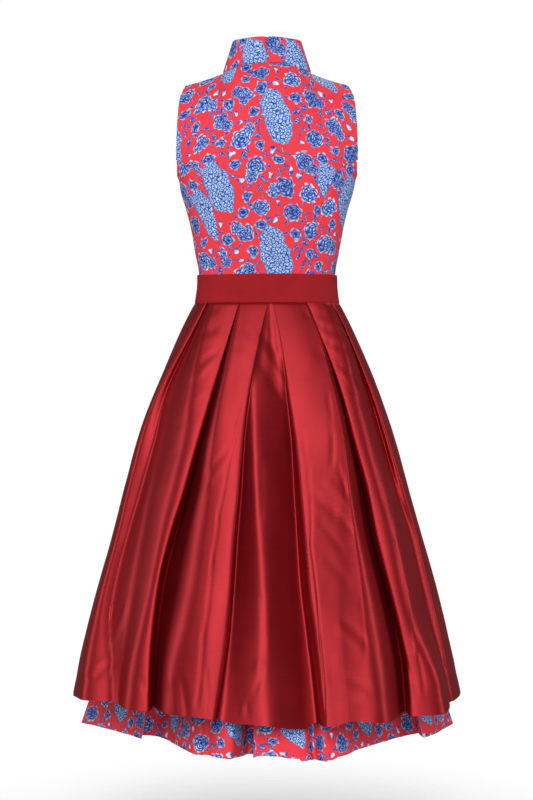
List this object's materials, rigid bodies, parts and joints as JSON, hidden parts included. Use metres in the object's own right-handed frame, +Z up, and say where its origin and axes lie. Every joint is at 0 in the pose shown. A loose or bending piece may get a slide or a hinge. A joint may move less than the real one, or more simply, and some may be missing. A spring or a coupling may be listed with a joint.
{
  "type": "dirndl",
  "caption": "Sleeveless dirndl with a stand collar, printed bodice, plain waistband, pleated taffeta overskirt and a printed underskirt below its hem.",
  "frame": {"origin": "midway between the two shoulder seams, where the wearer's shoulders carry the dress", "axes": "+Z up along the wearer, +Y the way the wearer faces, +X to the wearer's right"},
  "size_m": [0.7147, 0.6384, 1.257],
  "materials": {
    "print": "smooth sateen cotton, coral red with a blue and white flower print",
    "band": "matt dark red cotton",
    "taffeta": "crisp dark red taffeta with a soft satin sheen"
  },
  "bodies": {
    "root": {"back_panel": "print", "back_side_right": "print", "back_side_left": "print", "front_right": "print", "front_left": "print", "front_side_right": "print", "front_side_left": "print", "collar_right": "print", "collar_left": "print", "waistband": "band", "overskirt": "taffeta", "underskirt_back": "print", "underskirt_front": "print"}
  },
  "joints": []
}
